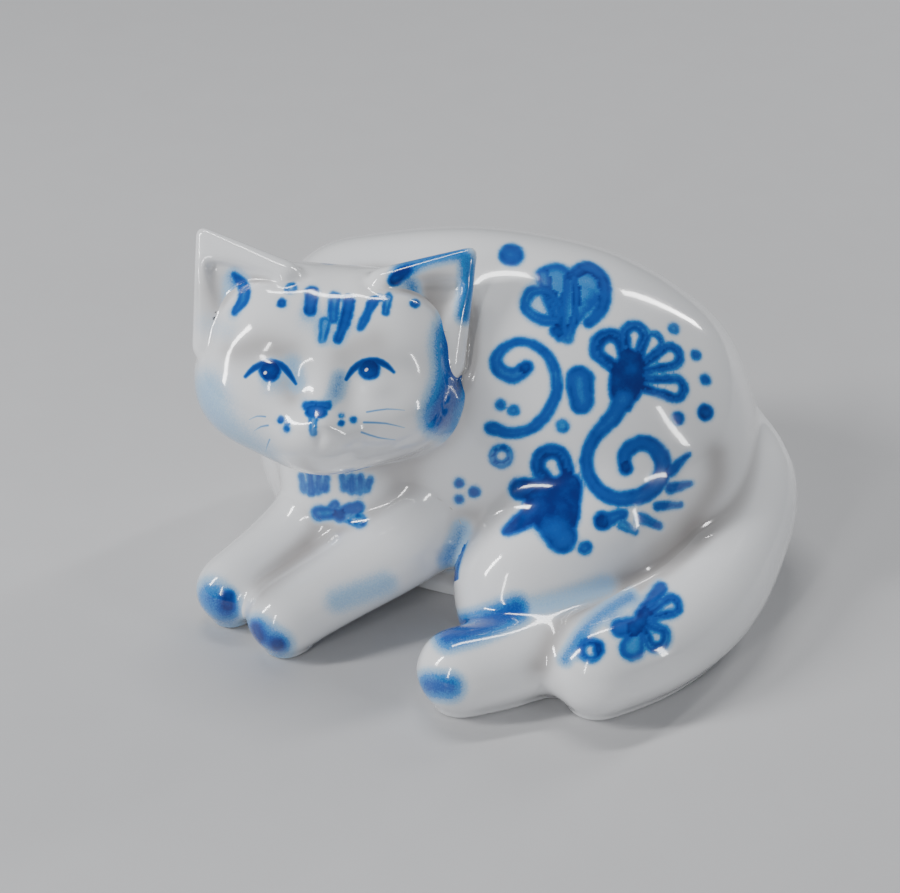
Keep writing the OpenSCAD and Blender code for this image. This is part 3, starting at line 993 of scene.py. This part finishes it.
def colourRamp(sheet, value, stops):
    made = sheet.add("ShaderNodeValToRGB", {0: value})
    made.color_ramp.interpolation = "EASE"
    points = made.color_ramp.elements
    for i, (place, colour) in enumerate(stops):
        stop = points[i] if i < 2 else points.new(place)
        stop.position, stop.color = place, (*colour, 1)
    return made.outputs[0]


def blend(sheet, share, first, second):
    made = sheet.add("ShaderNodeMix", data_type="RGBA")
    sheet.feed(made.inputs[0], share)
    for socket, value in ((made.inputs[6], first), (made.inputs[7], second)):
        sheet.feed(socket, value if isinstance(value, bpy.types.NodeSocket) else (*value, 1))
    return made.outputs[2]


def groupNode(sheet, name, inputs):
    made = sheet.add("ShaderNodeGroup")
    made.node_tree = shared[name]
    for label, value in inputs.items():
        sheet.feed(made.inputs[label], value)
    return made.outputs


def newMaterial(name):
    material = bpy.data.materials.new(name)
    material.use_nodes = True
    return material, Sheet(material.node_tree), material.node_tree.nodes["Principled BSDF"]


# x, y and z of an attribute that the mesh carries
def painting(sheet, label):
    carried = sheet.add("ShaderNodeAttribute", attribute_name=label).outputs["Vector"]
    return sheet.add("ShaderNodeSeparateXYZ", {0: carried}).outputs


# thin lines: how much a point on the face panel lies on any of them
def fineLine(sheet, panel, kind):
    nearest = None
    for line in kind["lines"]:
        path = bent([p[:2] for p in line], [p[2] for p in line], 2).tolist()
        for (au, av, ar), (bu, bv, br) in zip(path[:-1], path[1:]):
            ends = {"Start": (au, av, 0), "End": (bu, bv, 0), "Start radius": ar, "End radius": br}
            gap = groupNode(sheet, "line", {"Place": panel["Place"], **ends})["Distance"]
            nearest = gap if nearest is None else sheet.math("MINIMUM", nearest, gap)
    facing = sheet.ramp(panel["Facing"], 0.0, 0.2)
    return sheet.math("MULTIPLY", sheet.ramp(nearest, kind["soft"], -kind["soft"]), facing)


def makeGlaze(name, softness, halo, face=False):
    material, sheet, shader = newMaterial(name)
    where = sheet.add("ShaderNodeTexCoord").outputs
    ink, shade = painting(sheet, "ink"), painting(sheet, "shade")
    brush = groupNode(sheet, "brush", {
        "Point": where["Object"], "Edge": ink[0], "Tone": ink[1], "Core": ink[2], "Spray": shade[0],
        "Softness": softness, "Halo": halo})
    surface = groupNode(sheet, "glaze", {"Point": where["Object"]})
    density, glint = brush["Density"], None
    if face:
        panel = groupNode(sheet, "panel", {"Point": where["Object"], "Normal": where["Normal"]})
        for kind in fineLines.values():
            line = fineLine(sheet, panel, kind)
            if kind["tone"] > 0:
                density = sheet.math("MAXIMUM", density, sheet.math("MULTIPLY", line, kind["tone"]))
            else:
                glint = line
    tint = coats["white"]
    # the tint takes the glaze's random mottle, pooled glaze darkened as painted shade in creases, and
    # painted shade in hollows
    for share, colour in ((surface["Tint"], "mottle"), (shade[2], "pooledAndShaded"), (shade[1], "paintedShade")):
        tint = blend(sheet, sheet.math("MULTIPLY", share, coats["strength"][colour]), tint, coats[colour])
    tint = blend(sheet, surface["Speck"], tint, coats["speck"])
    colour = blend(sheet, sheet.ramp(density, 0.0, coats["opaque"]), tint,
                   colourRamp(sheet, density, coats["cobalt"]))
    # painted highlights in the eyes
    if glint is not None:
        colour = blend(sheet, glint, colour, coats["glint"])
    sheet.feed(shader.inputs["Base Color"], colour)
    sheet.feed(shader.inputs["Roughness"], surface["Roughness"])
    height = sheet.math("ADD", sheet.math("MULTIPLY", surface["Height"], coats["peel"]),
                        sheet.math("MULTIPLY", brush["Inside"], coats["inkRelief"]))
    bump = sheet.add("ShaderNodeBump", {"Height": height, "Distance": 1.0, "Strength": 1.0})
    sheet.feed(shader.inputs["Normal"], bump.outputs[0])
    for label, value in coats["gloss"].items():
        shader.inputs[label].default_value = value
    return material


def makeBiscuit():
    material, sheet, shader = newMaterial("biscuit")
    grain = groupNode(sheet, "grain", {"Point": sheet.add("ShaderNodeTexCoord").outputs["Object"]})
    sheet.feed(shader.inputs["Base Color"], colourRamp(sheet, grain["Shade"], coats["biscuit"]))
    sheet.feed(shader.inputs["Roughness"], grain["Roughness"])
    relief = {"Height": grain["Height"], "Distance": coats["grain"], "Strength": 1.0}
    bump = sheet.add("ShaderNodeBump", relief)
    sheet.feed(shader.inputs["Normal"], bump.outputs[0])
    return material


table = {"size": 6, "gap": 0.0001, "shades": [(0.50, 0.50, 0.51), (0.54, 0.54, 0.55)], "roughness": 0.6}


def makeFloorMaterial():
    material, sheet, shader = newMaterial("table")
    grain = groupNode(sheet, "grain", {"Point": sheet.add("ShaderNodeTexCoord").outputs["Object"]})
    sheet.feed(shader.inputs["Base Color"], blend(sheet, grain["Shade"], *table["shades"]))
    shader.inputs["Roughness"].default_value = table["roughness"]
    return material


glazes = {"trunk": makeGlaze("glaze", 0.85, 0.3), "face": makeGlaze("glazeFace", 0.6, 0.2, face=True)}
biscuit = makeBiscuit()
print("materials ready:", len(bpy.data.materials))

low = cadLow - form["margin"]
low[2] = -form["voxel"] * round(form["margin"] / form["voxel"])
coarse = catFields(Grid(low, cadHigh + form["margin"], form["voxel"]))
print("body fields ready", coarse["grid"].shape)

headNodes = ["head_casting", "left_ear", "right_ear", "neck_slip"]
corners = [np.array(c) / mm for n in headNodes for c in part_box(n)]
low, high = np.min(corners, axis=0) - form["headMargin"], np.max(corners, axis=0) + form["headMargin"]
fine = catFields(Grid(low, high, form["headVoxel"]))
print("head fields ready", fine["grid"].shape)

for node, recipe in recipes.items():
    ofHead = "ear" in node or "head" in node or "neck" in node
    f = fine if ofHead else coarse
    cut = cutPiece(f, node, recipe)
    name = {"body_casting": "body", "head_casting": "head"}.get(node, node)
    coat = glazes["face" if ofHead else "trunk"]
    makePiece(name + "_piece", node, f, cut, recipe, coat, biscuit)
    print(node, len(cut[1]), "faces")


def makeFloor():
    bpy.ops.mesh.primitive_plane_add(size=table["size"], location=(0, 0, -table["gap"]))
    floor = bpy.context.object
    floor.name = "floor"
    floor.data.materials.append(makeFloorMaterial())


def areaLight(name, place, aim, size, power):
    lamp = bpy.data.lights.new(name, "AREA")
    lamp.shape = "RECTANGLE"
    lamp.size, lamp.size_y = size
    lamp.energy = power
    holder = bpy.data.objects.new(name, lamp)
    holder.location = Vector(place)
    holder.rotation_euler = (Vector(aim) - Vector(place)).to_track_quat("-Z", "Y").to_euler()
    bpy.context.scene.collection.objects.link(holder)


lamps = {
    "key": {"place": (-0.85, -0.22, 0.62), "size": (0.10, 0.5), "power": 8},
    "front": {"place": (-0.42, -0.75, 0.42), "size": (0.05, 0.42), "power": 2.2},
    "top": {"place": (-0.1, 0.3, 0.95), "size": (0.5, 0.08), "power": 3.6},
    "back": {"place": (0.62, 0.62, 0.5), "size": (0.06, 0.5), "power": 3},
    "side": {"place": (0.8, -0.5, 0.3), "size": (0.05, 0.3), "power": 1.5},
}
studio = {"aim": (0, 0, 0.04), "air": (0.8, 0.85, 0.9, 1), "strength": 0.22}
makeFloor()
for name, lamp in lamps.items():
    areaLight(name, lamp["place"], studio["aim"], lamp["size"], lamp["power"])
world = bpy.data.worlds.new("world")
world.use_nodes = True
background = world.node_tree.nodes["Background"].inputs
background[0].default_value, background[1].default_value = studio["air"], studio["strength"]
bpy.context.scene.world = world
print("studio ready:", len(lamps), "lamps")
